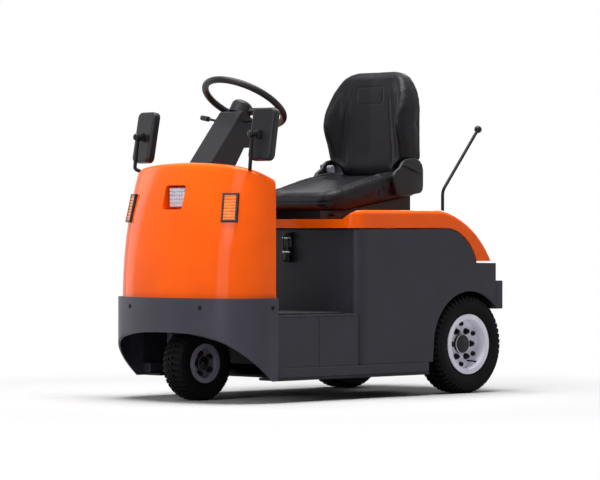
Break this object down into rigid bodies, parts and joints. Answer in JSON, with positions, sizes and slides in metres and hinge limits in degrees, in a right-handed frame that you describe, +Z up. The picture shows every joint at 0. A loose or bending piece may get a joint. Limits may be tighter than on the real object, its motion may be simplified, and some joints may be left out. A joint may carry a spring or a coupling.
{
  "type": "electric tow tractor",
  "caption": "Ride-on electric tow tractor with a rounded hood, low step, seat on a lifting deck cover, steered front wheel, rear drive wheels and a tow jaw.",
  "frame": {"origin": "on the floor, under the middle of the tractor's box", "axes": "+X forward, +Y to the driver's left, +Z up"},
  "size_m": [1.551, 0.7612, 1.259],
  "materials": {
    "orange_paint": "gloss enamel",
    "skirt_paint": "satin enamel",
    "body_paint": "satin enamel",
    "frame_paint": "satin enamel",
    "black_plastic": "grained",
    "rubber": "ribbed",
    "battery_case": "satin",
    "lamp_glass": "ribbed",
    "amber_lens": "ribbed",
    "red_lens": "ribbed",
    "mirror_glass": "polished",
    "black_steel": "satin",
    "vinyl": "grained vinyl",
    "cast_grey": "painted",
    "tyre": "matte",
    "rear_rim_paint": "satin",
    "front_rim_paint": "satin"
  },
  "bodies": {
    "chassis": {"accelerator_pedal": "rubber", "battery_block": "battery_case", "brake_pedal": "rubber", "column_stalks": "black_plastic", "cover_latch": "black_plastic", "dash_panel": "black_plastic", "deck_hinge": "frame_paint", "floor_mat": "rubber", "floor_plate": "frame_paint", "front_skirt": "skirt_paint", "headlight_lens": "lamp_glass", "headlight_pocket": "orange_paint", "hood": "orange_paint", "indicator_bezels": "black_plastic", "indicator_lenses": "amber_lens", "mirror_arms": "black_steel", "mirror_glasses": "mirror_glass", "mirror_housings": "black_plastic", "rear_axle": "frame_paint", "rear_bumper": "body_paint", "rear_frame": "frame_paint", "rear_panel": "body_paint", "seat_base_wall": "body_paint", "side_panel_left": "body_paint", "side_panel_right": "body_paint", "side_sills": "body_paint", "steering_column": "black_plastic", "steering_head": "frame_paint", "step_floor": "body_paint", "step_panels": "body_paint", "tail_lamps": "red_lens", "tow_coupling": "frame_paint", "well_wall": "frame_paint"},
    "cover": {"deck_cover": "orange_paint", "seat_rails": "black_steel", "seat_cushion": "vinyl", "seat_back": "vinyl", "recliner_covers": "black_plastic", "seat_lever": "black_plastic", "coupling_lever": "black_steel", "lever_knob": "black_plastic"},
    "steer": {"steer_leg": "cast_grey"},
    "front_wheel": {"front_tyre": "tyre", "front_rim": "front_rim_paint"},
    "rear_wheel_left": {"rear_tyre_left": "tyre", "rear_rim_left": "rear_rim_paint"},
    "rear_wheel_right": {"rear_tyre_right": "tyre", "rear_rim_right": "rear_rim_paint"},
    "steering": {"steering_wheel": "black_plastic", "steering_hub": "black_plastic"}
  },
  "joints": [
    {"name": "cover_lift", "type": "hinge", "parent": "chassis", "child": "cover", "pos_m": [-0.6505, 0, 0.523], "axis": [0, -1, 0], "range_deg": [0, 70]},
    {"name": "front_steer", "type": "hinge", "parent": "chassis", "child": "steer", "pos_m": [0.5905, 0, 0.34], "axis": [0, 0, 1], "range_deg": [-80, 80]},
    {"name": "front_wheel_spin", "type": "hinge", "parent": "steer", "child": "front_wheel", "pos_m": [0.5905, 0, 0.139], "axis": [0, 1, 0], "continuous": true},
    {"name": "rear_left_spin", "type": "hinge", "parent": "chassis", "child": "rear_wheel_left", "pos_m": [-0.5095, 0.315, 0.1915], "axis": [0, 1, 0], "continuous": true},
    {"name": "rear_right_spin", "type": "hinge", "parent": "chassis", "child": "rear_wheel_right", "pos_m": [-0.5095, -0.315, 0.1915], "axis": [0, 1, 0], "continuous": true},
    {"name": "steering_wheel_turn", "type": "hinge", "parent": "chassis", "child": "steering", "pos_m": [0.346, 0, 1.1206], "axis": [-0.515, 0, 0.8572], "range_deg": [-720, 720]}
  ],
  "couplings": [
    {"joint": "steering_wheel_turn", "follows": "front_steer", "ratio": 9}
  ]
}
